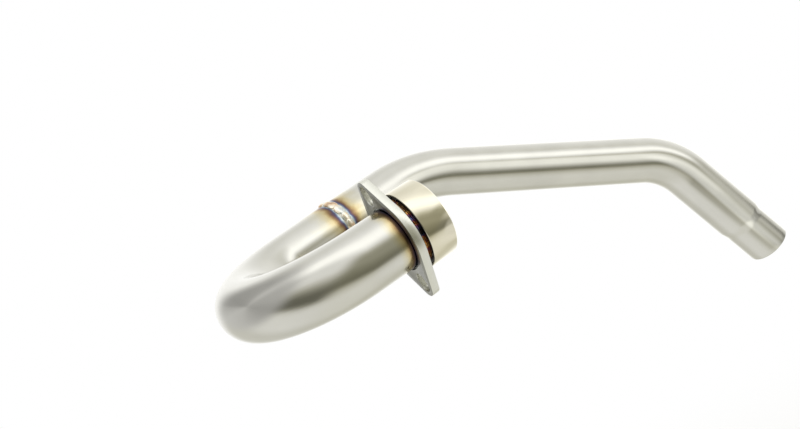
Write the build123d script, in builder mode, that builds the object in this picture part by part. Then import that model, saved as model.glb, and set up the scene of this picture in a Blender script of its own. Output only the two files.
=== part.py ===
from build123d import *
import math
import os

# Exhaust header pipe, in millimetres.
# The origin is the centre of the port collar's sealing face. +X runs out of the pipe
# into the exhaust port, +Z runs along the flange's two slots, and +Y points to the
# side that the pipe turns back on.

# Tube stock
tube_od = 38.1
tube_wall = 1.5

# Bend table, read from the port to the tail
port_straight = 30.5
return_bend_radius = 57.15
return_bend_angle = 168
return_bend_lean = 12
crossing_straight = 96.5
second_roll_angle = 45
second_bend_radius = 92
second_bend_angle = 38.5
long_straight = 161.5
third_roll_angle = 42
third_bend_radius = 62
third_bend_angle = 41.5
tail_straight = 57.5

# Swaged tail, which slips into the mid pipe
tail_od = 35.7
tail_lead = 10
tail_taper = 6
tail_length = 30
tail_blend = 14
tail_edge = 0.6

# Port collar
collar_od = 48
collar_length = 17
socket_depth = 12
socket_clearance = 0.05
collar_face_chamfer = 0.6
collar_back_chamfer = 0.4

# Weld bead where the bent head meets the rear pipe
weld_station = 46.5
bead_width = 6.6
bead_crest = 2.4
bead_height = 1.2
bead_ripples = 17
ripple_valley = 0.4
ripple_radius = 3.9

# Fillet weld at the back of the collar
fillet_leg = 2.6
fillet_ripples = 22
fillet_valley = 1
fillet_ripple_radius = 3.1

# Loose port flange, which slides and turns on the pipe
flange_thickness = 5
flange_gap = 3.4
flange_clearance = 0.9
flange_waist = 49
flange_tip_radius = 6
flange_tip_spacing = 63
flange_edge = 0.35
slot_spacing = 57
slot_length = 12
slot_width = 8

# Sizes worked out from those above
tube_radius = tube_od / 2
bore_radius = tube_radius - tube_wall
tail_radius = tail_od / 2
collar_radius = collar_od / 2
socket_radius = tube_radius + socket_clearance
flange_bore = tube_radius + flange_clearance
ripple_ring = tube_radius + bead_height - ripple_radius
fillet_ring = tube_radius + fillet_leg - fillet_ripple_radius


def ahead(frame, length):
    """The frame carried straight on, along its tangent."""
    return Plane(frame.origin + frame.z_dir * length, x_dir=frame.x_dir, z_dir=frame.z_dir)


def rolled(frame, angle):
    """The frame rolled about its tangent, so that the next bend leaves another way."""
    roll = Axis((0, 0, 0), frame.z_dir)
    return Plane(frame.origin, x_dir=frame.x_dir.rotate(roll, angle), z_dir=frame.z_dir)


def bent(frame, radius, angle):
    """The frame carried round a bend whose centre lies along its x direction."""
    turn = Axis((0, 0, 0), frame.y_dir)
    across = frame.x_dir.rotate(turn, angle)
    centre = frame.origin + frame.x_dir * radius
    return Plane(centre - across * radius, x_dir=across, z_dir=frame.z_dir.rotate(turn, angle))


def bend_arc(frame, radius, angle):
    """The arc of a bend's centre line, added to the open line."""
    middle = bent(frame, radius, angle / 2)
    end = bent(frame, radius, angle)
    return ThreePointArc(frame.origin, middle.origin, end.origin)


def lengthwise(frame):
    """The plane through a tube's axis: its x runs outwards and its y along the tangent."""
    return Plane(frame.origin, x_dir=frame.x_dir, z_dir=-frame.y_dir)


# Stations along the centre line
lean = math.radians(return_bend_lean)
port = Plane((0, 0, 0), x_dir=(0, math.cos(lean), math.sin(lean)), z_dir=(-1, 0, 0))
tube_mouth = ahead(port, collar_length - socket_depth)
collar_back = ahead(port, collar_length)
return_start = ahead(collar_back, port_straight)
return_end = bent(return_start, return_bend_radius, return_bend_angle)
weld = ahead(return_end, weld_station)
second_start = rolled(ahead(return_end, crossing_straight), second_roll_angle)
second_end = bent(second_start, second_bend_radius, second_bend_angle)
third_start = rolled(ahead(second_end, long_straight), third_roll_angle)
third_end = bent(third_start, third_bend_radius, third_bend_angle)
tail_start = ahead(third_end, tail_straight - tail_lead)

os.makedirs("parts", exist_ok=True)

# Head bend: the tube that leaves the port and turns back on itself
with BuildPart() as head_bend:
    with BuildLine() as head_line:
        Line(tube_mouth.origin, return_start.origin)
        bend_arc(return_start, return_bend_radius, return_bend_angle)
        Line(return_end.origin, weld.origin)
    with BuildSketch(tube_mouth):
        Circle(tube_radius)
        Circle(bore_radius, mode=Mode.SUBTRACT)
    sweep(path=head_line.wire())
head_bend.part.label = "head_bend"
export_step(head_bend.part, "parts/head_bend.step")

# Rear pipe: two more bends, and a tail swaged down to slip into the mid pipe
with BuildPart() as rear_pipe:
    with BuildLine() as rear_line:
        Line(weld.origin, second_start.origin)
        bend_arc(second_start, second_bend_radius, second_bend_angle)
        Line(second_end.origin, third_start.origin)
        bend_arc(third_start, third_bend_radius, third_bend_angle)
        Line(third_end.origin, tail_start.origin)
    with BuildSketch(weld):
        Circle(tube_radius)
        Circle(bore_radius, mode=Mode.SUBTRACT)
    sweep(path=rear_line.wire())
    taper_end = tail_lead + tail_taper
    tail_end = taper_end + tail_length
    with BuildSketch(lengthwise(tail_start)) as tail_wall:
        with BuildLine():
            Polyline(
                (bore_radius, 0),
                (tube_radius, 0),
                (tube_radius, tail_lead),
                (tail_radius, taper_end),
                (tail_radius, tail_end),
                (tail_radius - tube_wall, tail_end),
                (tail_radius - tube_wall, taper_end),
                (bore_radius, tail_lead),
                close=True,
            )
        make_face()
        fillet(tail_wall.vertices().filter_by_position(Axis.Y, tail_lead, taper_end), tail_blend)
        fillet(tail_wall.vertices().group_by(Axis.Y)[-1].sort_by(Axis.X)[-1], tail_edge)
    revolve(axis=Axis(tail_start.origin, tail_start.z_dir))
rear_pipe.part.label = "rear_pipe"
export_step(rear_pipe.part, "parts/rear_pipe.step")

# Joint weld: a crowned bead with a raised ripple for each dip of the filler rod
with BuildPart() as joint_weld:
    with BuildSketch(lengthwise(weld)):
        with BuildLine():
            Polyline(
                (tube_radius, -bead_width / 2),
                (tube_radius + bead_height, -bead_crest / 2),
                (tube_radius + bead_height, bead_crest / 2),
                (tube_radius, bead_width / 2),
                close=True,
            )
        make_face()
    revolve(axis=Axis(weld.origin, weld.z_dir))
    with BuildSketch(weld):
        Circle(tube_radius + ripple_valley)
        with PolarLocations(ripple_ring, bead_ripples):
            Circle(ripple_radius)
    extrude(amount=bead_width, both=True, mode=Mode.INTERSECT)
joint_weld.part.label = "joint_weld"
export_step(joint_weld.part, "parts/joint_weld.step")

# Port collar: a turned ring with the pipe's mouth seated in its back
with BuildPart() as port_collar:
    with BuildSketch(lengthwise(port)) as collar_wall:
        with BuildLine():
            Polyline(
                (bore_radius, 0),
                (collar_radius, 0),
                (collar_radius, collar_length),
                (socket_radius, collar_length),
                (socket_radius, collar_length - socket_depth),
                (bore_radius, collar_length - socket_depth),
                close=True,
            )
        make_face()
        outer_corners = collar_wall.vertices().group_by(Axis.X)[-1].sort_by(Axis.Y)
        chamfer(outer_corners[0], collar_face_chamfer)
        chamfer(outer_corners[-1], collar_back_chamfer)
    revolve(axis=Axis(port.origin, port.z_dir))
port_collar.part.label = "port_collar"
export_step(port_collar.part, "parts/port_collar.step")

# Collar weld: a rippled fillet in the corner between the collar's back and the pipe
with BuildPart() as collar_weld:
    with BuildSketch(lengthwise(collar_back)):
        with BuildLine():
            Polyline(
                (tube_radius, 0),
                (tube_radius + fillet_leg, 0),
                (tube_radius, fillet_leg),
                close=True,
            )
        make_face()
    revolve(axis=Axis(collar_back.origin, collar_back.z_dir))
    with BuildSketch(collar_back):
        Circle(tube_radius + fillet_valley)
        with PolarLocations(fillet_ring, fillet_ripples):
            Circle(fillet_ripple_radius)
    extrude(amount=fillet_leg, mode=Mode.INTERSECT)
collar_weld.part.label = "collar_weld"
export_step(collar_weld.part, "parts/collar_weld.step")

# Port flange: a loose two-slot plate, held on the pipe between the collar and the bend
with BuildPart() as port_flange:
    flange_face = Plane(ahead(collar_back, flange_gap).origin, x_dir=(0, 0, 1), z_dir=(-1, 0, 0))
    with BuildSketch(flange_face):
        Circle(flange_waist / 2)
        with GridLocations(flange_tip_spacing, 0, 2, 1):
            Circle(flange_tip_radius)
        make_hull()
        Circle(flange_bore, mode=Mode.SUBTRACT)
        with GridLocations(slot_spacing, 0, 2, 1):
            SlotOverall(slot_length, slot_width, mode=Mode.SUBTRACT)
    extrude(amount=flange_thickness)
    chamfer(port_flange.faces().filter_by(Axis.X).edges(), flange_edge)
port_flange.part.label = "port_flange"
export_step(port_flange.part, "parts/port_flange.step")
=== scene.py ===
"""Exhaust header pipe for a motorbike: the visible model, in metres.

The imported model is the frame. +X runs out of the pipe into the exhaust port, +Z runs
along the flange's two slots, and +Y points to the side that the pipe turns back on.
"""

import logging
import math
import random
from dataclasses import dataclass
from enum import Enum
from functools import cached_property
from typing import Callable, ClassVar, Mapping, Sequence, Union

import bmesh
import bpy
from mathutils import Euler, Matrix, Quaternion, Vector


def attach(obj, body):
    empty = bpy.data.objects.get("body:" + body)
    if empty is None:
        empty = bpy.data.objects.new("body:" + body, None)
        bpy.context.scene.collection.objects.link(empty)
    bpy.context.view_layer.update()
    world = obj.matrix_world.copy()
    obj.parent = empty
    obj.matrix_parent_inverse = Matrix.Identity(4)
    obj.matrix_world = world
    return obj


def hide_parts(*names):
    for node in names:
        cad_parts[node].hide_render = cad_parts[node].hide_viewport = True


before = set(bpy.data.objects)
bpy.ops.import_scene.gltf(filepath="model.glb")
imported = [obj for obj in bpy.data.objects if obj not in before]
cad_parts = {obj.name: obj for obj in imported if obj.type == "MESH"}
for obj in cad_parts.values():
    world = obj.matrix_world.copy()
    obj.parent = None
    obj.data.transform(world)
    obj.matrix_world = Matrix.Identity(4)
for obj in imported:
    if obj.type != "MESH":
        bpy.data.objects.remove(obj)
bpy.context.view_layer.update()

LOG = logging.getLogger("header_pipe")

Triple = tuple[float, float, float]
RingProfile = Sequence[tuple[float, float]]
Stops = Sequence[tuple[float, Triple]]
Levels = Sequence[tuple[float, float]]
Socket = bpy.types.NodeSocket
Feed = Union[float, Sequence[float], Socket]
Wires = Mapping[Union[int, str], Feed]


class Body(Enum):
    """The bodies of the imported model."""

    PIPE = "pipe"
    FLANGE = "flange"


class Part(Enum):
    """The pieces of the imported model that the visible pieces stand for."""

    HEAD_BEND = "head_bend"
    REAR_PIPE = "rear_pipe"
    JOINT_WELD = "joint_weld"
    PORT_COLLAR = "port_collar"
    COLLAR_WELD = "collar_weld"
    PORT_FLANGE = "port_flange"


class Slot(Enum):
    """The material slots of the record."""

    TUBE = "tube_satin"
    BEAD = "weld_bead"
    COLLAR = "collar_polished"
    FLANGE = "flange_milled"


class Easing(Enum):
    """How a share goes over from 0 to 1."""

    EVEN = "LINEAR"
    SOFT = "SMOOTHSTEP"


# The bent centre line


@dataclass(frozen=True)
class Station:
    """A place on the pipe's centre line.

    Args:
        place: The point on the centre line.
        side: The unit direction in which the next bend's centre lies.
        run: The unit direction in which the pipe runs on.
    """

    place: Vector
    side: Vector
    run: Vector

    @property
    def hinge(self) -> Vector:
        """The axis that a bend at this station turns about."""
        return self.run.cross(self.side)

    def ahead(self, length: float) -> "Station":
        """The station a straight length further on."""
        return Station(self.place + self.run * length, self.side, self.run)

    def rolled(self, angle: float) -> "Station":
        """The same place, with the bending side rolled about the run."""
        roll = Quaternion(self.run, angle)
        return Station(self.place, roll @ self.side, self.run)

    def bent(self, radius: float, angle: float) -> "Station":
        """The station at the end of a bend.

        Args:
            radius: The bend's radius.
            angle: The bend's angle, in radians.

        Returns:
            The new station, whose side still points to the bend's centre.
        """
        turn = Quaternion(self.hinge, angle)
        side = turn @ self.side
        centre = self.place + self.side * radius
        return Station(centre - side * radius, side, turn @ self.run)

    def facing(self) -> Euler:
        """The rotation that lays a flat ring square across the pipe."""
        columns = Matrix((self.side, self.hinge, self.run)).transposed()
        return columns.to_euler()


@dataclass(frozen=True)
class Leg:
    """One straight or one bend of the pipe.

    Args:
        start: The station where the leg begins.
        length: The length along the centre line.
        radius: The bend's radius, or 0 for a straight.
        along: The distance from the port to the leg's start.
        roll: How far the bending side has rolled since the port.
    """

    start: Station
    length: float
    radius: float
    along: float
    roll: float

    @property
    def angle(self) -> float:
        """The bend's angle, or 0 for a straight."""
        return self.length / self.radius if self.radius else 0.0

    def end(self) -> Station:
        """The station where the leg ends.

        Returns:
            The station, before any roll towards the next bend.
        """
        if self.radius:
            return self.start.bent(self.radius, self.angle)
        return self.start.ahead(self.length)

    def unbent(self, point: Vector) -> tuple[float, Vector]:
        """Where a point lay before the tube was bent.

        Args:
            point: A point of the tube wall.

        Returns:
            The point's distance from this leg's centre line, and its place on the straight
            stock: the distance from the port, then the two directions across.
        """
        start = self.start
        if self.radius:
            arm = point - (start.place + start.side * self.radius)
            turned = math.atan2(arm.dot(start.run), -arm.dot(start.side))
            turned = min(max(turned, 0.0), self.angle)
            here = start.bent(self.radius, turned)
            reach = self.radius * turned
        else:
            reach = (point - start.place).dot(start.run)
            reach = min(max(reach, 0.0), self.length)
            here = start.ahead(reach)
        offset = point - here.place
        across = offset.dot(here.side)
        beside = offset.dot(here.hinge)
        cos, sin = math.cos(self.roll), math.sin(self.roll)
        stock = Vector(
            (self.along + reach, across * cos - beside * sin, across * sin + beside * cos)
        )
        return offset.length, stock


@dataclass(frozen=True)
class BendTable:
    """The pipe's stock and its bend table, read from the port to the tail.

    Lengths are in metres and angles in degrees.

    Args:
        tube_radius: The tube's outer radius.
        tube_wall: The tube's wall.
        collar_length: The distance of the collar's back from the port face.
        mouth: The distance of the tube's mouth from the port face.
        port_straight: The straight from the port face to the return bend.
        lean: How far the return bend leans from the side that it turns back on.
        return_radius: The return bend's radius.
        return_angle: The return bend's angle.
        crossing: The straight that crosses over to the second bend.
        second_roll: The roll before the second bend.
        second_radius: The second bend's radius.
        second_angle: The second bend's angle.
        long_straight: The straight between the second bend and the third.
        third_roll: The roll before the third bend.
        third_radius: The third bend's radius.
        third_angle: The third bend's angle.
        tail_straight: The straight from the third bend towards the tail.
        weld_reach: How far along the crossing the joint weld lies.
    """

    tube_radius: float = 0.01905
    tube_wall: float = 0.0015
    collar_length: float = 0.017
    mouth: float = 0.005
    port_straight: float = 0.0475
    lean: float = 12.0
    return_radius: float = 0.05715
    return_angle: float = 168.0
    crossing: float = 0.0965
    second_roll: float = 45.0
    second_radius: float = 0.092
    second_angle: float = 38.5
    long_straight: float = 0.1615
    third_roll: float = 42.0
    third_radius: float = 0.062
    third_angle: float = 41.5
    tail_straight: float = 0.0475
    weld_reach: float = 0.0465

    @property
    def port(self) -> Station:
        """The station at the middle of the collar's sealing face."""
        lean = math.radians(self.lean)
        return Station(Vector(), Vector((0, math.cos(lean), math.sin(lean))), Vector((-1, 0, 0)))

    @cached_property
    def legs(self) -> tuple[Leg, ...]:
        """Walks the bend table.

        Returns:
            The seven legs in order, from the port to the start of the tail.
        """
        rows = (
            (self.port_straight, 0.0, 0.0),
            (self.return_angle, self.return_radius, 0.0),
            (self.crossing, 0.0, 0.0),
            (self.second_angle, self.second_radius, self.second_roll),
            (self.long_straight, 0.0, 0.0),
            (self.third_angle, self.third_radius, self.third_roll),
            (self.tail_straight, 0.0, 0.0),
        )
        found: list[Leg] = []
        here, along, roll = self.port, 0.0, 0.0
        for size, radius, turn in rows:
            length = math.radians(size) * radius if radius else size
            here = here.rolled(math.radians(turn))
            roll += math.radians(turn)
            leg = Leg(here, length, radius, along, roll)
            found.append(leg)
            here, along = leg.end(), along + length
        return tuple(found)

    @property
    def crossing_leg(self) -> Leg:
        """The straight that crosses over, on which the joint weld lies."""
        return self.legs[2]

    @property
    def joint(self) -> Station:
        """The station of the weld between the head bend and the rear pipe."""
        return self.crossing_leg.start.ahead(self.weld_reach)

    @property
    def joint_along(self) -> float:
        """The joint weld's distance from the port, along the centre line."""
        return self.crossing_leg.along + self.weld_reach

    def straightened(self, point: Vector) -> Vector:
        """The place on the straight stock of a point of the pipe's wall."""
        nearest = min((leg.unbent(point) for leg in self.legs), key=lambda found: found[0])
        return nearest[1]


# Bench work on meshes

MERGE_DISTANCE = 1e-6
SAME_PLACE = 1e-5


def clear_bench() -> None:
    """Leaves object mode with nothing selected."""
    if bpy.context.object and bpy.context.object.mode != "OBJECT":
        bpy.ops.object.mode_set(mode="OBJECT")
    bpy.ops.object.select_all(action="DESELECT")


def only(piece: bpy.types.Object) -> None:
    """Selects one object alone and makes it active.

    Args:
        piece: The object to work on.
    """
    clear_bench()
    piece.select_set(True)
    bpy.context.view_layer.objects.active = piece


def settle(piece: bpy.types.Object) -> None:
    """Puts the object at the origin, unturned and unscaled, with its place in its mesh."""
    only(piece)
    bpy.ops.object.transform_apply(location=True, rotation=True, scale=True)


def edit(piece: bpy.types.Object) -> None:
    """Opens a piece in edit mode."""
    only(piece)
    bpy.ops.object.mode_set(mode="EDIT")


def pick_vertices(piece: bpy.types.Object, test: Callable[[Vector], bool]) -> None:
    """Selects the vertices whose place passes a test, in vertex mode.

    Args:
        piece: The piece, open in edit mode.
        test: Says whether a place is wanted.
    """
    bpy.ops.mesh.select_mode(type="VERT")
    bpy.ops.mesh.select_all(action="DESELECT")
    mesh = bmesh.from_edit_mesh(piece.data)
    for vertex in mesh.verts:
        if test(vertex.co):
            vertex.select = True
    mesh.select_flush_mode()
    bmesh.update_edit_mesh(piece.data)


def apply_modifier(piece: bpy.types.Object, kind: str, **settings: object) -> None:
    """Adds a modifier with its settings and applies it.

    Args:
        piece: The piece to shape.
        kind: The modifier's type.
        settings: The modifier's own values.
    """
    only(piece)
    modifier = piece.modifiers.new(kind.lower(), kind)
    for name, value in settings.items():
        setattr(modifier, name, value)
    bpy.ops.object.modifier_apply(modifier=modifier.name)


def soften_edges(piece: bpy.types.Object, width: float, sharper_than: float) -> None:
    """Bevels a piece's sharp edges.

    Args:
        piece: The piece to shape.
        width: The bevel's width.
        sharper_than: The least angle of a sharp edge, in degrees.
    """
    apply_modifier(
        piece, "BEVEL", width=width, segments=2, limit_method="ANGLE",
        angle_limit=math.radians(sharper_than),
    )


def point_outwards(piece: bpy.types.Object) -> None:
    """Merges doubled vertices and turns every face outwards.

    Args:
        piece: The piece to clean.
    """
    edit(piece)
    bpy.ops.mesh.select_all(action="SELECT")
    bpy.ops.mesh.remove_doubles(threshold=MERGE_DISTANCE)
    bpy.ops.mesh.normals_make_consistent(inside=False)
    bpy.ops.object.mode_set(mode="OBJECT")


def smooth(piece: bpy.types.Object, angle: float = 32.0) -> None:
    """Shades a piece smooth, apart from edges sharper than an angle in degrees."""
    only(piece)
    bpy.ops.object.shade_smooth_by_angle(angle=math.radians(angle))


def join(pieces: Sequence[bpy.types.Object], name: str) -> bpy.types.Object:
    """Joins several pieces into the first and names it.

    Args:
        pieces: The pieces.
        name: The joined piece's name.

    Returns:
        The first piece, which now holds them all.
    """
    clear_bench()
    for piece in pieces:
        piece.select_set(True)
    bpy.context.view_layer.objects.active = pieces[0]
    bpy.ops.object.join()
    pieces[0].name = name
    return pieces[0]


def open_ring(name: str, station: Station, radius: float, sides: int) -> bpy.types.Object:
    """Adds an open ring of edges square across the pipe, and opens it in edit mode.

    Args:
        name: The new piece's name.
        station: Where the ring lies.
        radius: The ring's radius.
        sides: The number of its sides.

    Returns:
        The ring, in edit mode with its one loop selected.
    """
    clear_bench()
    bpy.ops.mesh.primitive_circle_add(
        vertices=sides, radius=radius, fill_type="NOTHING",
        location=station.place, rotation=station.facing(),
    )
    ring = bpy.context.object
    ring.name = name
    settle(ring)
    edit(ring)
    bpy.ops.mesh.select_all(action="SELECT")
    return ring


def run_straight(run: Vector, length: float, rings: int = 1) -> None:
    """Extrudes the selected ring straight on.

    Args:
        run: The unit direction to go in.
        length: How far to go.
        rings: The number of equal steps.
    """
    for _ in range(rings):
        bpy.ops.mesh.extrude_region_move(TRANSFORM_OT_translate={"value": run * (length / rings)})


def resize_ring(centre: Vector, factor: float) -> None:
    """Makes the selected ring larger or smaller about its own centre."""
    bpy.ops.transform.resize(value=(factor, factor, factor), center_override=centre)


def turned_form(
    name: str, station: Station, profile: RingProfile, sides: int
) -> bpy.types.Object:
    """Makes a closed form turned about the pipe's run, ring by ring, as on a lathe.

    Args:
        name: The new piece's name.
        station: The lathe's datum.
        profile: The distance from the datum and the radius of each ring, in order.
        sides: The number of sides round the form.

    Returns:
        The form, with its faces outwards.
    """
    along, radius = profile[0]
    piece = open_ring(name, station.ahead(along), radius, sides)
    for next_along, next_radius in (*profile[1:], profile[0]):
        run_straight(station.run, next_along - along)
        resize_ring(station.ahead(next_along).place, next_radius / radius)
        along, radius = next_along, next_radius
    bpy.ops.object.mode_set(mode="OBJECT")
    point_outwards(piece)
    return piece


def copy_piece(piece: bpy.types.Object, name: str) -> bpy.types.Object:
    """Copies a piece with a mesh of its own.

    Args:
        piece: The pattern.
        name: The copy's name.

    Returns:
        The copy.
    """
    only(piece)
    bpy.ops.object.duplicate(linked=False)
    made = bpy.context.object
    made.name = name
    return made


# Shader bench

# The places of the colour sockets on a Mix node, which has sockets for other kinds too.
MIX_FIRST, MIX_SECOND, MIX_ANSWER = 6, 7, 2


class Bench:
    """Adds nodes to a shader tree, sets them and joins them."""

    def __init__(self, tree: bpy.types.NodeTree) -> None:
        """Clears the tree and starts on it."""
        self.tree = tree
        tree.nodes.clear()

    def feed(self, node: bpy.types.Node, wires: Wires) -> None:
        """Feeds a node's inputs.

        Args:
            node: The node.
            wires: For each input, a value or the socket that drives it.
        """
        for key, value in wires.items():
            if isinstance(value, Socket):
                self.tree.links.new(value, node.inputs[key])
            else:
                node.inputs[key].default_value = value

    def add(self, kind: str, wires: Wires | None = None, **settings: object) -> bpy.types.Node:
        """Adds a node.

        Args:
            kind: The node's type, without the word ShaderNode.
            wires: For each input, a value or the socket that drives it.
            settings: The node's own properties.

        Returns:
            The new node.
        """
        node = self.tree.nodes.new("ShaderNode" + kind)
        for name, value in settings.items():
            setattr(node, name, value)
        self.feed(node, wires or {})
        return node

    def reckon(self, operation: str, *values: Feed) -> Socket:
        """A Math node's answer for up to three values or sockets."""
        return self.add("Math", dict(enumerate(values)), operation=operation).outputs[0]

    def share(self, value: Feed, start: float, full: float, easing: Easing) -> Socket:
        """How far a value has come from a start to where the share is full, from 0 to 1."""
        wires = {0: value, 1: start, 2: full}
        return self.add("MapRange", wires, interpolation_type=easing.value).outputs[0]

    def ramp(self, value: Feed, stops: Stops) -> Socket:
        """A colour ramp's answer.

        Args:
            value: The socket that the ramp reads.
            stops: Each stop's place from 0 to 1 and its linear colour.

        Returns:
            The ramp's colour socket.
        """
        node = self.add("ValToRGB", {0: value})
        elements = node.color_ramp.elements
        for _ in range(len(stops) - 2):
            elements.new(0.5)
        for element, (place, colour) in zip(elements, stops):
            element.position = place
            element.color = (*colour, 1.0)
        return node.outputs[0]

    def mix(self, factor: Feed, first: Feed, second: Feed, blend: str = "MIX") -> Socket:
        """A colour mix of two colours or sockets."""
        wires = {0: factor, MIX_FIRST: first, MIX_SECOND: second}
        return self.add("Mix", wires, data_type="RGBA", blend_type=blend).outputs[MIX_ANSWER]

    def noise(self, vector: Feed, scale: Feed, detail: float) -> Socket:
        """A noise texture's value."""
        wires = {"Vector": vector, "Scale": scale, "Detail": detail}
        return self.add("TexNoise", wires).outputs[0]


VECTOR, FLOAT, COLOUR = "NodeSocketVector", "NodeSocketFloat", "NodeSocketColor"


class Effect:
    """A shader node group that is built once and used more than once.

    Each kind names its group, its inputs with their starting values, and its outputs.
    """

    name: ClassVar[str]
    inputs: ClassVar[Sequence[tuple[str, str, object]]]
    outputs: ClassVar[Sequence[tuple[str, str]]]
    built: ClassVar[dict[str, bpy.types.NodeTree]] = {}

    def tree(self) -> bpy.types.NodeTree:
        """The group's tree, made the first time it is asked for.

        Returns:
            The tree, with its sockets and nodes.
        """
        if self.name not in self.built:
            tree = bpy.data.node_groups.new(self.name, "ShaderNodeTree")
            bench = Bench(tree)
            for name, kind, value in self.inputs:
                socket = tree.interface.new_socket(name, in_out="INPUT", socket_type=kind)
                if value is not None:
                    socket.default_value = value
            for name, kind in self.outputs:
                tree.interface.new_socket(name, in_out="OUTPUT", socket_type=kind)
            start = tree.nodes.new("NodeGroupInput").outputs
            end = tree.nodes.new("NodeGroupOutput")
            bench.feed(end, self.wire(bench, start))
            self.built[self.name] = tree
        return self.built[self.name]

    def wire(self, bench: Bench, start: Mapping[str, Socket]) -> dict[str, Socket]:
        """Builds the group's nodes and gives the socket for each output."""
        raise NotImplementedError

    def put(self, bench: Bench, wires: Wires) -> Mapping[str, Socket]:
        """Places the group in a material, with that material's own values.

        Args:
            bench: The material's bench.
            wires: For each input, a value or the socket that drives it.

        Returns:
            The placed group's outputs.
        """
        node = bench.tree.nodes.new("ShaderNodeGroup")
        node.node_tree = self.tree()
        bench.feed(node, wires)
        return node.outputs


class DrawnGrain(Effect):
    """Fine lines drawn along one direction, as a belt or a draw die leaves them."""

    name = "drawn_grain"
    inputs = (("Place", VECTOR, None), ("Stretch", VECTOR, (1, 1, 1)), ("Scale", FLOAT, 900.0))
    outputs = (("Grain", FLOAT), ("Cloud", FLOAT))
    detail: ClassVar[float] = 3.0
    cloud_scale: ClassVar[float] = 45.0

    def wire(self, bench: Bench, start: Mapping[str, Socket]) -> dict[str, Socket]:
        """Builds fine lines, and slow clouds of handling marks.

        Args:
            bench: The group's bench.
            start: The group's inputs.

        Returns:
            The socket for each output.
        """
        wires = {0: start["Place"], 1: start["Stretch"]}
        laid = bench.add("VectorMath", wires, operation="MULTIPLY").outputs[0]
        return {
            "Grain": bench.noise(laid, start["Scale"], self.detail),
            "Cloud": bench.noise(start["Place"], self.cloud_scale, self.detail),
        }


class HeatTint(Effect):
    """The oxide colours beside a weld, from blue at its toe to straw further off.

    A crowding above 1 lets the dark colours spread before the pale ones begin.
    """

    name = "heat_tint"
    inputs = (
        ("Place", VECTOR, None), ("Distance", FLOAT, 1.0), ("Reach", FLOAT, 0.02),
        ("Crowding", FLOAT, 1.0), ("Ragged", FLOAT, 0.8),
    )
    outputs = (("Tint", COLOUR),)
    colours: ClassVar[Stops] = (
        (0.0, (0.74, 0.84, 0.88)),
        (0.03, (0.34, 0.42, 0.58)),
        (0.06, (0.13, 0.13, 0.26)),
        (0.10, (0.22, 0.13, 0.15)),
        (0.155, (0.40, 0.26, 0.14)),
        (0.22, (0.68, 0.51, 0.28)),
        (0.31, (0.92, 0.79, 0.50)),
        (0.42, (0.97, 0.88, 0.66)),
        (0.55, (0.99, 0.95, 0.82)),
        (0.80, (1.0, 0.99, 0.95)),
        (1.0, (1.0, 1.0, 1.0)),
    )
    wander_scale: ClassVar[float] = 95.0
    wander_detail: ClassVar[float] = 3.0
    # How far the ragged edge swings at the toe. It swings more further off.
    wander_at_toe: ClassVar[float] = 0.2

    def wire(self, bench: Bench, start: Mapping[str, Socket]) -> dict[str, Socket]:
        """Builds the row of colours over the distance from the weld's toe.

        Args:
            bench: The group's bench.
            start: The group's inputs.

        Returns:
            The socket for each output.
        """
        even = bench.reckon("DIVIDE", start["Distance"], start["Reach"])
        share = bench.reckon("POWER", even, start["Crowding"])
        noise = bench.noise(start["Place"], self.wander_scale, self.wander_detail)
        wander = bench.reckon("SUBTRACT", noise, 0.5)
        ragged = bench.reckon("MULTIPLY", wander, start["Ragged"])
        swing = bench.reckon("ADD", share, self.wander_at_toe)
        moved = bench.reckon("ADD", share, bench.reckon("MULTIPLY", ragged, swing))
        return {"Tint": bench.ramp(moved, self.colours)}


# Finishes


@dataclass(frozen=True)
class Finish:
    """A bare metal finish, a little darker and smoother where it has been handled.

    Args:
        name: The material's name.
        colour: The metal's linear colour.
        gloss: The roughness of its smoothest and its dullest places.
        grain_stretch: How the grain's pattern is stretched along each direction.
        grain_scale: How fine the grain is.
        grain_depth: The grain's depth, in metres.
    """

    name: str
    colour: Triple
    gloss: tuple[float, float]
    grain_stretch: Triple
    grain_scale: float
    grain_depth: float

    handled_shade: ClassVar[float] = 0.93
    grain_share: ClassVar[float] = 0.6
    pattern_span: ClassVar[tuple[float, float]] = (0.3, 0.7)

    def place(self, bench: Bench) -> Socket:
        """The socket that the finish's patterns read their place from."""
        return bench.add("TexCoord").outputs["Object"]

    def tinted(self, bench: Bench, place: Socket, steel: Socket) -> Socket:
        """The metal's colour with whatever tints it."""
        return steel

    def material(self) -> bpy.types.Material:
        """Builds the material.

        Returns:
            The finished material, made once for each name.
        """
        if self.name in bpy.data.materials:
            return bpy.data.materials[self.name]
        made = bpy.data.materials.new(self.name)
        made.use_nodes = True
        bench = Bench(made.node_tree)
        place = self.place(bench)
        pattern = DrawnGrain().put(
            bench, {"Place": place, "Stretch": self.grain_stretch, "Scale": self.grain_scale}
        )
        lines, cloud = pattern["Grain"], pattern["Cloud"]
        low, high = self.pattern_span
        handled = tuple(self.handled_shade * part for part in self.colour)
        shade = bench.ramp(cloud, ((low, handled), (high, self.colour)))
        worn_lines = bench.reckon("MULTIPLY", lines, self.grain_share)
        worn_cloud = bench.reckon("MULTIPLY", cloud, 1 - self.grain_share)
        worn = bench.reckon("ADD", worn_lines, worn_cloud)
        rough = bench.add("MapRange", dict(enumerate((worn, low, high, *self.gloss))))
        bump = bench.add("Bump", {"Strength": 1.0, "Distance": self.grain_depth, "Height": lines})
        surface = bench.add(
            "BsdfPrincipled",
            {
                "Base Color": self.tinted(bench, place, shade),
                "Metallic": 1.0,
                "Roughness": rough.outputs[0],
                "Normal": bump.outputs[0],
            },
        )
        bench.add("OutputMaterial", {"Surface": surface.outputs[0]})
        return made


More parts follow.
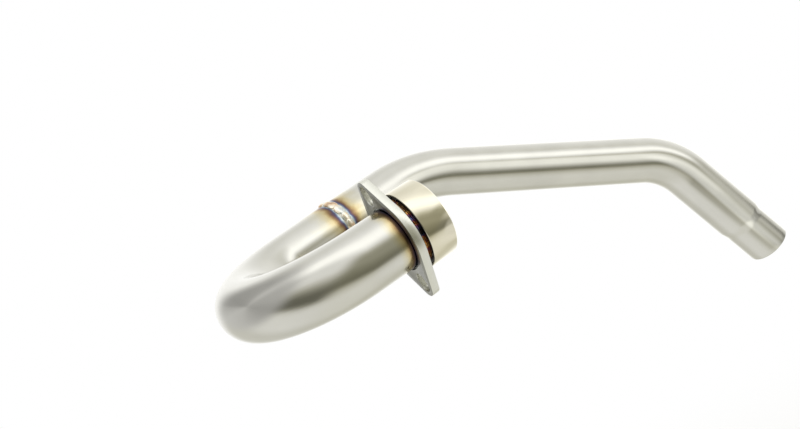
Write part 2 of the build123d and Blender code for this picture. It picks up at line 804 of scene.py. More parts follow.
@dataclass(frozen=True)
class TubeFinish(Finish):
    """Satin stainless tube, with heat tint beside the joint weld and the collar weld.

    Args:
        joint_along: The joint weld's distance from the port.
        joint_toe: Half the width of the joint weld's bead.
        joint_reach: How far the joint weld's tint spreads from its toe.
        joint_crowding: How far its dark colours spread before the pale ones begin, from 1.
        collar_along: The distance of the collar weld's toe from the port.
        collar_reach: How far the collar weld's tint spreads from its toe.
        collar_crowding: The same for the collar weld's dark colours.
    """

    joint_along: float
    joint_toe: float = 0.0033
    joint_reach: float = 0.0225
    joint_crowding: float = 1.0
    collar_along: float = 0.0190
    collar_reach: float = 0.0157
    collar_crowding: float = 3.0

    def place(self, bench: Bench) -> Socket:
        """The wall's place on the straight stock, so that the grain follows the bends."""
        return bench.add("Attribute", attribute_name="stock").outputs["Vector"]

    def tinted(self, bench: Bench, place: Socket, steel: Socket) -> Socket:
        """The steel's colour, with the tint of both welds.

        Args:
            bench: The material's bench.
            place: The place on the straight stock.
            steel: The steel's own colour.

        Returns:
            The tinted colour.
        """
        along = bench.add("SeparateXYZ", {0: place}).outputs[0]
        off_joint = bench.reckon("ABSOLUTE", bench.reckon("SUBTRACT", along, self.joint_along))
        welds = (
            (off_joint, self.joint_toe, self.joint_reach, self.joint_crowding),
            (along, self.collar_along, self.collar_reach, self.collar_crowding),
        )
        colour = steel
        for off, toe, reach, crowding in welds:
            distance = bench.reckon("MAXIMUM", bench.reckon("SUBTRACT", off, toe), 0.0)
            wires = {"Place": place, "Distance": distance, "Reach": reach, "Crowding": crowding}
            colour = bench.mix(1.0, colour, HeatTint().put(bench, wires)["Tint"], "MULTIPLY")
        return colour


@dataclass(frozen=True)
class BeadFinish(Finish):
    """Bright weld metal, with patches of straw, rose and blue.

    Args:
        patches: The colours that lie over the bead, from one extreme of a noise to the other.
        patch_scale: How small the patches are.
    """

    patches: Stops
    patch_scale: float

    patch_detail: ClassVar[float] = 2.0

    def tinted(self, bench: Bench, place: Socket, steel: Socket) -> Socket:
        """The weld metal's colour under its patches."""
        noise = bench.noise(place, self.patch_scale, self.patch_detail)
        return bench.mix(1.0, steel, bench.ramp(noise, self.patches), "MULTIPLY")


@dataclass(frozen=True)
class CollarFinish(Finish):
    """Turned and polished steel, its back painted black as shade in the narrow gap beside the weld.

    Args:
        painted_shade_from: Where the painted shade on the back begins, from the port face.
        painted_shade_edge: The width over which the steel turns to the black painted shade.
        painted_shade_colour: The painted shade's linear colour.
    """

    painted_shade_from: float = 0.0167
    painted_shade_edge: float = 0.0003
    painted_shade_colour: Triple = (0.05, 0.045, 0.04)

    def tinted(self, bench: Bench, place: Socket, steel: Socket) -> Socket:
        """The steel's colour, painted black as shade behind the back edge.

        Args:
            bench: The material's bench.
            place: The place on the collar.
            steel: The steel's own colour.

        Returns:
            The colour with the painted shade on its back.
        """
        along = bench.reckon("MULTIPLY", bench.add("SeparateXYZ", {0: place}).outputs[0], -1.0)
        black_from = self.painted_shade_from + self.painted_shade_edge
        # Painted shade: the back face, in the narrow gap to the flange, is painted black.
        painted_shade_share = bench.share(along, self.painted_shade_from, black_from, Easing.EVEN)
        return bench.mix(painted_shade_share, steel, (*self.painted_shade_colour, 1.0))


@dataclass(frozen=True)
class PlateFinish(Finish):
    """Steel plate with dull grey faces and a bright milled rim, bore and slots.

    Args:
        face_colour: The linear colour of the two faces.
        middle: The height of the plate's middle along X.
        half: How far from the middle the faces begin.
        face_edge: The width over which the rim's colour turns to the faces'.
    """

    face_colour: Triple = (0.30, 0.30, 0.275)
    middle: float = -0.0229
    half: float = 0.0023
    face_edge: float = 0.00015

    def tinted(self, bench: Bench, place: Socket, steel: Socket) -> Socket:
        """The rim's colour, with the faces' colour over the two faces.

        Args:
            bench: The material's bench.
            place: The place on the plate.
            steel: The rim's colour.

        Returns:
            The colour of rim and faces.
        """
        height = bench.add("SeparateXYZ", {0: place}).outputs[0]
        off = bench.reckon("ABSOLUTE", bench.reckon("SUBTRACT", height, self.middle))
        face = bench.share(off, self.half, self.half + self.face_edge, Easing.EVEN)
        return bench.mix(face, steel, (*self.face_colour, 1.0))


BRIGHT_PATCHES: Stops = (
    (0.30, (0.66, 0.74, 0.82)),
    (0.38, (0.90, 0.94, 0.94)),
    (0.47, (1.0, 0.95, 0.86)),
    (0.55, (1.0, 0.80, 0.60)),
    (0.65, (0.62, 0.44, 0.32)),
)
BURNT_PATCHES: Stops = (
    (0.34, (0.05, 0.04, 0.05)),
    (0.41, (0.10, 0.14, 0.42)),
    (0.46, (0.22, 0.05, 0.12)),
    (0.51, (0.50, 0.22, 0.07)),
    (0.58, (0.62, 0.40, 0.15)),
    (0.66, (0.16, 0.10, 0.06)),
)


# The pieces


@dataclass
class Piece:
    """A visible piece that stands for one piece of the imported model.

    Each kind says which part it stands for, its material slot and its body.

    Args:
        table: The pipe's bend table.
        finish: The piece's finish.
    """

    table: BendTable
    finish: Finish

    part: ClassVar[Part]
    slot: ClassVar[Slot]
    body: ClassVar[Body] = Body.PIPE

    def build(self) -> bpy.types.Object:
        """Models the piece."""
        raise NotImplementedError

    def dress(self, piece: bpy.types.Object) -> None:
        """Gives the piece its finish."""
        piece.data.materials.clear()
        piece.data.materials.append(self.finish.material())

    def place(self) -> bpy.types.Object:
        """Builds and dresses the piece, and lets it ride on its body.

        Returns:
            The finished piece.
        """
        piece = self.build()
        settle(piece)
        self.dress(piece)
        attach(piece, self.body.value)
        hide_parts(self.part.value)
        LOG.info("%s: %d faces, on %s", piece.name, len(piece.data.polygons), self.body.value)
        return piece


@dataclass
class BentTube(Piece):
    """A length of the pipe's tube, bent as the table says.

    Args:
        sides: The number of sides round the tube.
        bend_step: The angle between two rings of a bend, in degrees.
        straight_rings: The number of rings along a straight.
    """

    sides: int = 96
    bend_step: float = 2.0
    straight_rings: int = 4

    slot = Slot.TUBE

    def follow(self, leg: Leg, start: float = 0.0, end: float | None = None) -> None:
        """Carries the selected ring along a leg.

        Args:
            leg: The leg of the bend table.
            start: Where on the leg the ring now lies.
            end: Where on the leg it stops, or None for its end.
        """
        end = leg.length if end is None else end
        if not leg.radius:
            run_straight(leg.start.run, end - start, self.straight_rings)
            return
        angle = (end - start) / leg.radius
        bpy.ops.mesh.spin(
            steps=round(math.degrees(angle) / self.bend_step),
            angle=-angle,
            center=leg.start.place + leg.start.side * leg.radius,
            axis=leg.start.hinge,
        )

    def wall(self, piece: bpy.types.Object) -> None:
        """Turns the tube's skin outwards and gives it its wall.

        Args:
            piece: The skin, still open in edit mode.
        """
        bpy.ops.object.mode_set(mode="OBJECT")
        point_outwards(piece)
        apply_modifier(
            piece, "SOLIDIFY", thickness=self.table.tube_wall, offset=-1.0, use_even_offset=True
        )

    def mark_stock(self, piece: bpy.types.Object) -> None:
        """Writes each vertex's place on the straight stock, for the grain and the tint.

        Args:
            piece: The finished tube.
        """
        mark = piece.data.attributes.new("stock", "FLOAT_VECTOR", "POINT")
        for vertex, value in zip(piece.data.vertices, mark.data):
            value.vector = self.table.straightened(vertex.co)


@dataclass
class HeadBend(BentTube):
    """The tube that leaves the port and turns back on itself."""

    part = Part.HEAD_BEND

    def build(self) -> bpy.types.Object:
        """Models the tube from its mouth in the collar to the joint weld.

        Returns:
            The tube with its wall.
        """
        port_leg, return_leg, crossing_leg = self.table.legs[:3]
        mouth = port_leg.start.ahead(self.table.mouth)
        piece = open_ring("head_bend_tube", mouth, self.table.tube_radius, self.sides)
        self.follow(port_leg, start=self.table.mouth)
        self.follow(return_leg)
        self.follow(crossing_leg, end=self.table.weld_reach)
        self.wall(piece)
        self.mark_stock(piece)
        smooth(piece)
        return piece


@dataclass
class RearPipe(BentTube):
    """The tube from the joint weld to the swaged tail.

    Args:
        tail_lead: The straight between the last leg and the taper.
        tail_radius: The swaged end's outer radius.
        taper: The length over which the tube narrows.
        taper_rings: The number of rings in the taper.
        tail_length: The length of the swaged end.
        tail_rings: The number of rings along the swaged end.
        lip: The rounding of its end.
        lip_rings: The number of rings in that rounding.
    """

    tail_lead: float = 0.0084
    tail_radius: float = 0.01785
    taper: float = 0.0092
    taper_rings: int = 16
    tail_length: float = 0.0284
    tail_rings: int = 6
    lip: float = 0.0006
    lip_rings: int = 4

    part = Part.REAR_PIPE

    def swage(self, start: Station) -> None:
        """Narrows the selected ring smoothly, then runs it on to the tail's end.

        Args:
            start: The station where the taper begins.
        """
        full = radius = self.table.tube_radius
        for ring in range(1, self.taper_rings + 1):
            share = ring / self.taper_rings
            eased = share * share * (3 - 2 * share)
            wanted = full + (self.tail_radius - full) * eased
            run_straight(start.run, self.taper / self.taper_rings)
            resize_ring(start.ahead(self.taper * share).place, wanted / radius)
            radius = wanted
        run_straight(start.run, self.tail_length, self.tail_rings)

    def round_lip(self, piece: bpy.types.Object, end: Station) -> None:
        """Rounds the outer edge of the tail's end.

        Args:
            piece: The tube with its wall.
            end: The station of the tail's end.
        """
        edit(piece)
        middle = self.tail_radius - self.table.tube_wall / 2

        def at_edge(point: Vector) -> bool:
            """Whether a point is on the outer edge of the end."""
            offset = point - end.place
            return abs(offset.dot(end.run)) < SAME_PLACE and offset.length > middle

        pick_vertices(piece, at_edge)
        bpy.ops.mesh.bevel(offset=self.lip, segments=self.lip_rings, affect="EDGES")
        bpy.ops.object.mode_set(mode="OBJECT")

    def build(self) -> bpy.types.Object:
        """Models the tube from the joint weld to the tail.

        Returns:
            The tube with its wall.
        """
        table = self.table
        crossing_leg, *later_legs = table.legs[2:]
        piece = open_ring("rear_pipe_tube", table.joint, table.tube_radius, self.sides)
        self.follow(crossing_leg, start=table.weld_reach)
        for leg in later_legs:
            self.follow(leg)
        lead = later_legs[-1].end()
        run_straight(lead.run, self.tail_lead)
        taper_start = lead.ahead(self.tail_lead)
        self.swage(taper_start)
        self.wall(piece)
        self.round_lip(piece, taper_start.ahead(self.taper + self.tail_length))
        self.mark_stock(piece)
        smooth(piece)
        return piece


@dataclass
class ScaleRow(Piece):
    """A weld laid as a row of overlapping scales round the tube.

    Args:
        count: The number of scales.
        seed: The seed of their small differences.
        half_size: A scale's half size along the row, across it and outwards.
        dome_sides: The number of sides round a scale.
        dome_rings: The number of rings from its one pole to the other.
        seat: How deep below its middle a scale is cut flat, as a share of its half height.
        tip: How far each scale leans back on the one before, in degrees.
        tip_play: How far the lean differs either way, in degrees.
        skew_play: How far a scale turns on its seat either way, in degrees.
        spacing_play: How far it strays along the row, as a share of the spacing.
        height_play: How far it stands higher or lower.
        size_play: Its smallest and largest size, as shares of the half size.
        ring_sides: The number of sides of the ring under the row.
        crease: The angle above which an edge stays sharp, in degrees.
    """

    count: int = 18
    seed: int = 7
    half_size: Triple = (0.0045, 0.0033, 0.0012)
    dome_sides: int = 20
    dome_rings: int = 12
    seat: float = 0.55
    tip: float = 7.0
    tip_play: float = 4.0
    skew_play: float = 9.0
    spacing_play: float = 0.12
    height_play: float = 0.0001
    size_play: tuple[float, float] = (0.86, 1.12)
    ring_sides: int = 96
    crease: float = 60.0

    slot = Slot.BEAD

    def one_scale(self, name: str) -> bpy.types.Object:
        """Models one scale, lying on the origin with its row along X and outwards along Z.

        Args:
            name: The new piece's name.

        Returns:
            The scale, domed above and cut flat where it sits in the one before.
        """
        clear_bench()
        bpy.ops.mesh.primitive_uv_sphere_add(
            segments=self.dome_sides, ring_count=self.dome_rings, radius=1.0
        )
        scale = bpy.context.object
        scale.name = name
        scale.scale = self.half_size
        settle(scale)
        edit(scale)
        bpy.ops.mesh.select_all(action="SELECT")
        bpy.ops.mesh.bisect(
            plane_co=(0, 0, -self.half_size[2] * self.seat), plane_no=(0, 0, 1),
            clear_inner=True, use_fill=True,
        )
        bpy.ops.object.mode_set(mode="OBJECT")
        return scale

    def lay_row(self, name: str, station: Station, radius: float) -> bpy.types.Object:
        """Copies the scale round the tube, each a little different, and joins the row.

        Args:
            name: The row's name.
            station: The middle of the row's ring, with the side where the row starts.
            radius: The radius at which the scales sit.

        Returns:
            The whole row.
        """
        draw = random.Random(self.seed)

        def stray(most: float) -> float:
            """A random difference either way, up to the most."""
            return draw.uniform(-most, most)

        axis = station.run
        pattern = self.one_scale(name)
        row = []
        for number in range(self.count):
            turn = Quaternion(axis, math.tau * (number + stray(self.spacing_play)) / self.count)
            outwards = turn @ station.side
            forward = axis.cross(outwards)
            lean = Quaternion(axis, math.radians(self.tip + stray(self.tip_play)))
            skew = Quaternion(outwards, math.radians(stray(self.skew_play)))
            seated = Matrix((skew @ (lean @ forward), skew @ axis, lean @ outwards)).transposed()
            scale = copy_piece(pattern, f"{name}_{number}")
            scale.rotation_mode = "QUATERNION"
            scale.location = station.place + outwards * (radius + stray(self.height_play))
            scale.rotation_quaternion = seated.to_quaternion()
            scale.scale = [draw.uniform(*self.size_play) for _ in range(3)]
            settle(scale)
            row.append(scale)
        bpy.data.objects.remove(pattern)
        return join(row, name)


@dataclass
class JointWeld(ScaleRow):
    """The bead that joins the head bend to the rear pipe.

    Args:
        foot: How deep the ring under the scales sinks into the tube.
        shoulder: Where the ring's shoulder lies, as a share of its half width.
        shoulder_height: The shoulder's height over the tube.
        crown: The height of the ring's middle over the tube.
        crown_steps: Where the crown's rings lie, as shares of its half width.
        row_height: The height of the scales' middles over the tube.
    """

    foot: float = 0.0003
    shoulder: float = 0.93
    shoulder_height: float = 0.0001
    crown: float = 0.0008
    crown_steps: tuple[float, ...] = (-0.6, -0.2, 0.2, 0.6)
    row_height: float = 0.0002

    part = Part.JOINT_WELD

    def build(self) -> bpy.types.Object:
        """Models a low crowned ring, and the scales that lie on it.

        Returns:
            The whole bead.
        """
        radius, half = self.table.tube_radius, self.half_size[1]
        foot = radius - self.foot
        shoulder, top = half * self.shoulder, radius + self.shoulder_height
        crown = [
            (half * step, radius + self.crown * (1 - step * step)) for step in self.crown_steps
        ]
        profile = [(-half, foot), (-shoulder, top), *crown, (shoulder, top), (half, foot)]
        ring = turned_form("joint_bead_ring", self.table.joint, profile, self.ring_sides)
        row = self.lay_row("joint_bead_row", self.table.joint, radius + self.row_height)
        piece = join([ring, row], "joint_bead")
        smooth(piece, self.crease)
        return piece


@dataclass
class CollarWeld(ScaleRow):
    """The fillet weld in the corner behind the collar.

    Args:
        leg: The fillet's leg along the tube.
        foot: How deep the fillet sinks into the tube.
        toe: Where the fillet meets the tube, as a share of its leg.
        slope: The fillet's corners, as shares of its leg along the tube and outwards.
        row_along: Where the scales' middles lie, as a share of the leg along the tube.
        row_height: The height of the scales' middles over the tube.
    """

    leg: float = 0.0020
    foot: float = 0.0002
    toe: float = 0.9
    slope: RingProfile = ((0.0, 0.85), (0.3, 0.6), (0.6, 0.3))
    row_along: float = 0.36
    row_height: float = 0.0006

    part = Part.COLLAR_WELD

    def build(self) -> bpy.types.Object:
        """Models the fillet, and the scales that lie on it.

        Returns:
            The whole fillet weld.
        """
        back, radius, leg = self.table.collar_length, self.table.tube_radius, self.leg
        slope = [(back + leg * along, radius + leg * out) for along, out in self.slope]
        foot = radius - self.foot
        profile = [(back, foot), *slope, (back + leg * self.toe, foot)]
        fillet = turned_form("collar_fillet", self.table.port, profile, self.ring_sides)
        middle = self.table.port.ahead(back + leg * self.row_along)
        row = self.lay_row("collar_bead_row", middle, radius + self.row_height)
        piece = join([fillet, row], "collar_fillet_bead")
        smooth(piece, self.crease)
        return piece


@dataclass
class PortCollar(Piece):
    """The turned ring that enters the exhaust port.

    Args:
        radius: The collar's outer radius.
        socket: The radius of the socket that the tube sits in.
        face_chamfer: The chamfer at the port face.
        back_chamfer: The chamfer at the back.
        edge: The rounding of every edge.
        sides: The number of sides round the collar.
    """

    radius: float = 0.024
    socket: float = 0.0191
    face_chamfer: float = 0.0006
    back_chamfer: float = 0.0004
    edge: float = 0.00012
    sides: int = 160

    part = Part.PORT_COLLAR
    slot = Slot.COLLAR

    def build(self) -> bpy.types.Object:
        """Models the collar as one turned form.

        Returns:
            The collar.
        """
        table = self.table
        bore = table.tube_radius - table.tube_wall
        profile = (
            (0.0, bore),
            (0.0, self.radius - self.face_chamfer),
            (self.face_chamfer, self.radius),
            (table.collar_length - self.back_chamfer, self.radius),
            (table.collar_length, self.radius - self.back_chamfer),
            (table.collar_length, self.socket),
            (table.mouth, self.socket),
            (table.mouth, bore),
        )
        piece = turned_form("port_collar_ring", table.port, profile, self.sides)
        soften_edges(piece, self.edge, sharper_than=30)
        smooth(piece)
        return piece


@dataclass
class PortFlange(Piece):
    """The loose two-slot plate that clamps the collar to the port.

    Args:
        gap: The gap between the collar's back and the plate.
        thickness: The plate's thickness.
        bore: The radius of its bore.
        waist: The radius of its waist.
        tip_radius: The radius of its two tips.
        tip_reach: The distance of each tip's centre from the axis.
        slot_reach: The distance of each slot's middle from the axis.
        slot_length: The slot's overall length.
        slot_radius: Half the slot's width.
        edge: The chamfer of its edges.
        sides: The number of sides of each disc in its outline.
        flat: The angle below which the outline's faces become one, in degrees.
        tool_depth: How deep a cutting tool is, in plate thicknesses.
    """

    gap: float = 0.0034
    thickness: float = 0.005
    bore: float = 0.01995
    waist: float = 0.0245
    tip_radius: float = 0.006
    tip_reach: float = 0.0315
    slot_reach: float = 0.0285
    slot_length: float = 0.012
    slot_radius: float = 0.004
    edge: float = 0.00035
    sides: int = 96
    flat: float = 0.5
    tool_depth: float = 3.0

    part = Part.PORT_FLANGE
    slot = Slot.FLANGE
    body = Body.FLANGE

    def hull(self, name: str, discs: RingProfile, depth: float) -> bpy.types.Object:
        """Makes a plate from the hull of several discs that lie across the port axis.

        Args:
            name: The new piece's name.
            discs: Each disc's height and radius.
            depth: The plate's depth along the axis.

        Returns:
            The closed plate.
        """
        middle = -(self.table.collar_length + self.gap + self.thickness / 2)
        pieces = []
        for height, radius in discs:
            clear_bench()
            bpy.ops.mesh.primitive_cylinder_add(
                vertices=self.sides, radius=radius, depth=depth,
                location=(middle, 0, height), rotation=(0, math.pi / 2, 0),
            )
            pieces.append(bpy.context.object)
        plate = join(pieces, name)
        settle(plate)
        if len(discs) > 1:
            edit(plate)
            bpy.ops.mesh.select_all(action="SELECT")
            bpy.ops.mesh.convex_hull()
            bpy.ops.mesh.select_all(action="SELECT")
            bpy.ops.mesh.dissolve_limited(angle_limit=math.radians(self.flat))
            bpy.ops.object.mode_set(mode="OBJECT")
        point_outwards(plate)
        return plate

    def cut(self, plate: bpy.types.Object, name: str, discs: RingProfile) -> None:
        """Cuts the hull of several discs out of the plate and puts the tool away.

        Args:
            plate: The plate.
            name: The tool's name.
            discs: Each disc's height and radius.
        """
        tool = self.hull(name, discs, self.thickness * self.tool_depth)
        apply_modifier(plate, "BOOLEAN", operation="DIFFERENCE", solver="EXACT", object=tool)
        bpy.data.objects.remove(tool)

    def build(self) -> bpy.types.Object:
        """Models the plate, then cuts its bore and slots and chamfers its edges.

        Returns:
            The flange.
        """
        tips = ((-self.tip_reach, self.tip_radius), (self.tip_reach, self.tip_radius))
        plate = self.hull("port_flange_plate", ((0.0, self.waist), *tips), self.thickness)
        self.cut(plate, "bore_tool", ((0.0, self.bore),))
        travel = self.slot_length / 2 - self.slot_radius
        for side in (-1, 1):
            ends = [(side * self.slot_reach + step, self.slot_radius) for step in (-travel, travel)]
            self.cut(plate, "slot_tool", ends)
        soften_edges(plate, self.edge, sharper_than=40)
        smooth(plate)
        return plate


# The studio's light

RIGHT_LIGHT: Levels = (
    (-180, 1.4), (-160, 1.25), (-143, 0.82), (-128, 0.78), (-105, 0.95), (-60, 1.0),
    (-48, 0.92), (-38, 0.78), (-31, 0.6), (-25, 0.32), (-19, 0.22), (-12, 0.24), (-5, 0.28),
    (5, 0.34), (15, 0.42), (26, 0.42), (33, 0.5), (39, 0.78), (45, 1.2), (52, 1.68),
    (60, 1.82), (68, 1.72), (74, 1.36), (80, 1.12), (88, 0.98), (110, 1.1), (140, 1.26),
    (155, 1.47), (180, 1.4),
)
LEFT_LIGHT: Levels = (
    (-180, 1.22), (-160, 1.15), (-143, 0.82), (-120, 0.86), (-95, 1.07), (-60, 1.05),
    (-50, 0.9), (-42, 0.4), (-34, 0.18), (-18, 0.2), (-8, 0.34), (0, 0.52), (10, 0.82),
    (20, 1.08), (30, 1.12), (42, 1.12), (50, 1.42), (58, 1.75), (72, 1.7), (80, 1.4),
    (90, 1.2), (105, 1.07), (120, 1.03), (140, 1.14), (155, 1.3), (180, 1.25),
)
LEFT_END_LIGHT: Levels = (
    (-180, 0.64), (-150, 0.81), (-100, 0.77), (-60, 0.6), (-30, 0.52), (0, 0.6),
    (40, 0.64), (60, 0.76), (70, 0.84), (80, 0.74), (100, 0.57), (160, 0.47), (180, 0.55),
)
# The right light, whose rise to the bright strip comes 6 degrees later.
OUTER_LIGHT: Levels = tuple(
    (angle + 6 if 30 < angle < 62 else angle, level) for angle, level in RIGHT_LIGHT
)
RIGHT_END_LIGHT: Levels = (
    (-180, 0.95), (-120, 1.02), (-85, 1.06), (-60, 1.0), (-45, 0.9), (-34, 0.72), (-26, 0.38),
    (-18, 0.24), (-5, 0.27), (5, 0.34), (14, 0.55), (25, 0.78), (50, 0.82), (70, 0.74),
    (90, 0.7), (105, 0.8), (130, 0.95), (180, 0.95),
)
TAIL_LIGHT: Levels = (
    (-180, 0.95), (-60, 0.98), (-35, 0.95), (-22, 0.6), (10, 0.5), (30, 0.55), (50, 0.45),
    (70, 0.32), (95, 0.32), (120, 0.8), (180, 0.95),
)


@dataclass(frozen=True)
class SkyLight:
    """Light whose level changes with the angle above the camera, warmest where it is dark.

    Args:
        levels: Each angle in degrees and the level there, where a white surface is 1.
        warmth: How warm the dark angles are, from 0 to 1.
    """

    levels: Levels
    warmth: float

    # A colour ramp holds no more than 1, so each level is written as a share of this top.
    ramp_top: ClassVar[float] = 2.0
    # The light is warmest up to the dark level, and nearly white a pale span above it.
    dark_level: ClassVar[float] = 0.25
    pale_span: ClassVar[float] = 0.9
    green_loss: ClassVar[float] = 0.03
    blue_loss: ClassVar[float] = 0.30
    pale_blue_gain: ClassVar[float] = 0.28

    def colour(self, bench: Bench, turn: Socket) -> Socket:
        """The light's colour for an angle above the camera.

        Args:
            bench: The world's bench.
            turn: The angle from -180 to 180 degrees, as a share of the circle.

        Returns:
            The colour over the ramp's top level, which keeps the ramp under 1.
        """
        stops = []
        for angle, level in self.levels:
            pale = min(max((level - self.dark_level) / self.pale_span, 0.0), 1.0)
            green = 1.0 - self.green_loss * self.warmth * (1 - pale)
            blue = 1.0 - self.warmth * (self.blue_loss - self.pale_blue_gain * pale)
            colour = tuple(level / self.ramp_top * part for part in (1.0, green, blue))
            stops.append(((angle + 180.0) / 360.0, colour))
        return bench.ramp(turn, stops)


@dataclass(frozen=True)
class LightZone(SkyLight):
    """The light for the looks that point far enough to one side.

    Args:
        start: How far to the right a look points where the zone begins, from -1 to 1.
        full: How far to the right it points where the zone shows alone.
    """

    start: float
    full: float


@dataclass(frozen=True)
class SoftPanel:
    """A softbox cloth that glows in its middle and fades towards its edges.

    Args:
        name: The panel's name.
        middle: Its middle, measured to the right, upward and nearer in the picture.
        long_arm: The arm from its middle to where its long way has faded by half.
        short_arm: The arm from its middle to where its short way has faded by half.
        level: Its brightness, where a white surface is 1.
    """

    name: str
    middle: Triple
    long_arm: Triple
    short_arm: Triple
    level: float

    # How much of each half, the long way and the short way, glows evenly before it fades.
    even_share: ClassVar[tuple[float, float]] = (0.33, 0.25)
    colour: ClassVar[Triple] = (0.97, 0.98, 1.0)

    def cloth(self) -> bpy.types.Material:
        """Builds the cloth, which glows over whatever lies behind it.

        Returns:
            The finished material.
        """
        made = bpy.data.materials.new(self.name + "_cloth")
        made.use_nodes = True
        bench = Bench(made.node_tree)
        apart = bench.add("SeparateXYZ", {0: bench.add("TexCoord").outputs["UV"]})
        level = self.level
        for way, even in zip(apart.outputs, self.even_share):
            off = bench.reckon("ABSOLUTE", bench.reckon("MULTIPLY_ADD", way, 2.0, -1.0))
            level = bench.reckon("MULTIPLY", level, bench.share(off, 1.0, even, Easing.SOFT))
        glow = bench.add("Emission", {0: (*self.colour, 1.0), 1: level})
        clear = bench.add("BsdfTransparent")
        both = bench.add("AddShader", {0: glow.outputs[0], 1: clear.outputs[0]})
        bench.add("OutputMaterial", {0: both.outputs[0]})
        return made

    def hang(self, axes: Matrix) -> None:
        """Hangs the panel where only the metal's reflections see it.

        Args:
            axes: The picture's directions to the right, upward and nearer, as columns.
        """
        long_way, short_way = (
            axes @ Vector(arm) * 2 / (1 + even)
            for arm, even in zip((self.long_arm, self.short_arm), self.even_share)
        )
        clear_bench()
        bpy.ops.mesh.primitive_plane_add(size=2.0)
        panel = bpy.context.object
        panel.name = self.name
        normal = long_way.cross(short_way).normalized()
        shape = Matrix((long_way, short_way, normal)).transposed()
        panel.data.transform(Matrix.Translation(axes @ Vector(self.middle)) @ shape.to_4x4())
        panel.data.materials.append(self.cloth())
        for kind in ("camera", "diffuse", "shadow", "transmission"):
            setattr(panel, "visible_" + kind, False)


# The studio


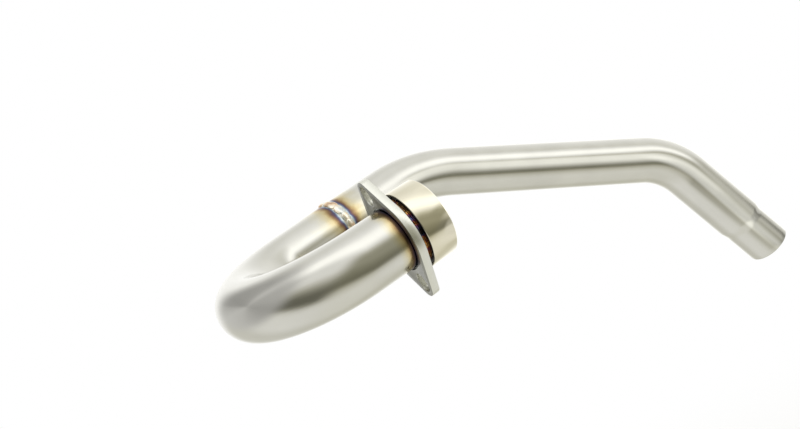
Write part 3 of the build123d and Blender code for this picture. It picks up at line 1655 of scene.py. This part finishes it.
@dataclass(frozen=True)
class Studio:
    """The camera, the white surroundings and the pale floor.

    Args:
        eye: The camera's place.
        right: The picture's right-hand direction.
        up: The picture's upward direction.
        sensor: The width of the camera's sensor, in millimetres.
        lens: Its focal length, in millimetres.
        nearest: The least distance that it sees.
        light: The light for looks to the left.
        zones: The light's zones, each laid over the ones before it.
        floor_middle: The middle of the floor.
        floor_radius: The floor's radius.
        floor_sides: The number of its sides.
        floor_colour: Its paint's linear colour.
        floor_roughness: The paint's roughness.
        floor_fade: How far from its middle the floor begins to fade, and where it is gone.
        panels: The softboxes that draw the lower bright line along the rear pipe.
    """

    eye: Triple = (-0.15232, -0.35515, 0.01581)
    right: Triple = (0.7766, -0.3101, -0.5485)
    up: Triple = (0.5159, -0.1867, 0.8360)
    sensor: float = 36.0
    lens: float = 30.617
    nearest: float = 0.01
    light: SkyLight = SkyLight(LEFT_LIGHT, warmth=0.75)
    zones: tuple[LightZone, ...] = (
        LightZone(RIGHT_LIGHT, warmth=1.0, start=-0.15, full=0.35),
        LightZone(LEFT_END_LIGHT, warmth=0.1, start=-0.55, full=-0.85),
        LightZone(OUTER_LIGHT, warmth=1.0, start=0.45, full=0.62),
        LightZone(RIGHT_END_LIGHT, warmth=0.75, start=0.75, full=0.87),
        LightZone(TAIL_LIGHT, warmth=0.4, start=0.885, full=0.93),
    )
    floor_middle: Triple = (0.1, 0.05, -0.45)
    floor_radius: float = 4.0
    floor_sides: int = 96
    floor_colour: Triple = (0.93, 0.93, 0.93)
    floor_roughness: float = 0.9
    floor_fade: tuple[float, float] = (0.2, 0.55)
    panels: tuple[SoftPanel, ...] = (
        SoftPanel(
            "long_panel", middle=(0.176, 0.088, -0.039), long_arm=(0.1413, 0.0063, -0.0156),
            short_arm=(0.0002, 0.0532, 0.0235), level=0.98,
        ),
        SoftPanel(
            "tail_panel", middle=(0.263, 0.0059, -0.1607), long_arm=(0.0465, -0.0413, -0.007),
            short_arm=(0.0211, -0.0068, -0.0094), level=0.753,
        ),
    )

    def back(self) -> Vector:
        """The direction from the object to the camera."""
        return Vector(self.right).cross(Vector(self.up)).normalized()

    def camera(self) -> None:
        """Sets up the camera where the photograph was taken from."""
        data = bpy.data.cameras.new("view")
        data.sensor_width, data.lens, data.clip_start = self.sensor, self.lens, self.nearest
        eye = bpy.data.objects.new("view", data)
        bpy.context.scene.collection.objects.link(eye)
        back = self.back()
        right = Vector(self.right).normalized()
        turn = Matrix((right, back.cross(right), back)).transposed()
        eye.matrix_world = Matrix.Translation(self.eye) @ turn.to_4x4()
        bpy.context.scene.camera = eye

    def surroundings(self) -> None:
        """Sets up the soft light that the metal reflects, and the white that the camera sees."""
        world = bpy.data.worlds.new("studio")
        bpy.context.scene.world = world
        world.use_nodes = True
        bench = Bench(world.node_tree)
        look = bench.add("TexCoord").outputs["Generated"]

        def towards(direction: Vector) -> Socket:
            """How far the look points in a direction."""
            wires = {0: look, 1: direction}
            return bench.add("VectorMath", wires, operation="DOT_PRODUCT").outputs["Value"]

        above, front = towards(Vector(self.up)), towards(self.back())
        beside = towards(Vector(self.right))
        angle = bench.reckon("ARCTAN2", above, front)
        turn = bench.reckon("MULTIPLY_ADD", angle, 1 / math.tau, 0.5)
        light = self.light.colour(bench, turn)
        for zone in self.zones:
            share = bench.share(beside, zone.start, zone.full, Easing.SOFT)
            light = bench.mix(share, light, zone.colour(bench, turn))
        lit = bench.add("Background", {0: light, 1: SkyLight.ramp_top})
        white = bench.add("Background", {0: (1, 1, 1, 1), 1: 1.0})
        seen = bench.add("LightPath").outputs["Is Camera Ray"]
        shown = bench.add("MixShader", {0: seen, 1: lit.outputs[0], 2: white.outputs[0]})
        bench.add("OutputWorld", {0: shown.outputs[0]})

    def floor_paint(self) -> bpy.types.Material:
        """Builds the floor's matt paint, which fades into white where the camera looks.

        Returns:
            The finished material.
        """
        made = bpy.data.materials.new("pale_floor")
        made.use_nodes = True
        bench = Bench(made.node_tree)
        place = bench.add("TexCoord").outputs["Object"]
        wires = {0: place, 1: self.floor_middle}
        off = bench.add("VectorMath", wires, operation="DISTANCE").outputs["Value"]
        fade = bench.share(off, *self.floor_fade, Easing.SOFT)
        seen = bench.add("LightPath").outputs["Is Camera Ray"]
        share = bench.reckon("MULTIPLY", fade, seen)
        wires = {"Base Color": (*self.floor_colour, 1.0), "Roughness": self.floor_roughness}
        matt = bench.add("BsdfPrincipled", wires)
        white = bench.add("Emission", {0: (1, 1, 1, 1), 1: 1.0})
        both = bench.add("MixShader", {0: share, 1: matt.outputs[0], 2: white.outputs[0]})
        bench.add("OutputMaterial", {0: both.outputs[0]})
        return made

    def floor(self) -> None:
        """Lays a pale floor that keeps the shadow."""
        clear_bench()
        bpy.ops.mesh.primitive_circle_add(
            vertices=self.floor_sides, radius=self.floor_radius, fill_type="NGON",
            location=self.floor_middle,
        )
        floor = bpy.context.object
        floor.name = "floor"
        settle(floor)
        floor.visible_glossy = False
        floor.data.materials.append(self.floor_paint())

    def set_up(self) -> None:
        """Sets up the whole studio."""
        self.camera()
        self.surroundings()
        right, up = Vector(self.right).normalized(), Vector(self.up).normalized()
        axes = Matrix((right, up, self.back())).transposed()
        for panel in self.panels:
            panel.hang(axes)
        self.floor()
        bpy.context.scene.view_settings.view_transform = "Standard"


def main() -> None:
    """Sets up the studio, then builds the pipe's pieces in order."""
    logging.basicConfig(level=logging.INFO, format="%(name)s: %(message)s", force=True)
    Studio().set_up()
    table = BendTable()
    tube = TubeFinish(
        name="satin_tube", colour=(0.605, 0.597, 0.557), gloss=(0.13, 0.20),
        grain_stretch=(0.02, 1.0, 1.0), grain_scale=1500.0, grain_depth=0.000012,
        joint_along=table.joint_along,
    )
    bright_bead = BeadFinish(
        name="bright_bead", colour=(0.80, 0.76, 0.69), gloss=(0.20, 0.30),
        grain_stretch=(1.0, 1.0, 1.0), grain_scale=300.0, grain_depth=0.00003,
        patches=BRIGHT_PATCHES, patch_scale=130.0,
    )
    burnt_bead = BeadFinish(
        name="burnt_bead", colour=(0.72, 0.62, 0.52), gloss=(0.2, 0.3),
        grain_stretch=(1.0, 1.0, 1.0), grain_scale=420.0, grain_depth=0.00003,
        patches=BURNT_PATCHES, patch_scale=120.0,
    )
    collar = CollarFinish(
        name="polished_collar", colour=(0.72, 0.68, 0.55), gloss=(0.06, 0.10),
        grain_stretch=(1.0, 0.05, 0.05), grain_scale=900.0, grain_depth=0.000004,
    )
    plate = PlateFinish(
        name="milled_plate", colour=(0.70, 0.70, 0.64), gloss=(0.28, 0.42),
        grain_stretch=(0.03, 1.0, 1.0), grain_scale=1400.0, grain_depth=0.00002,
    )
    pieces = (
        HeadBend(table, tube),
        RearPipe(table, tube),
        JointWeld(table, bright_bead),
        PortCollar(table, collar),
        CollarWeld(table, burnt_bead, count=30, seed=11, half_size=(0.0029, 0.0014, 0.0009)),
        PortFlange(table, plate),
    )
    for piece in pieces:
        piece.place()
    clear_bench()


if __name__ == "__main__":
    main()
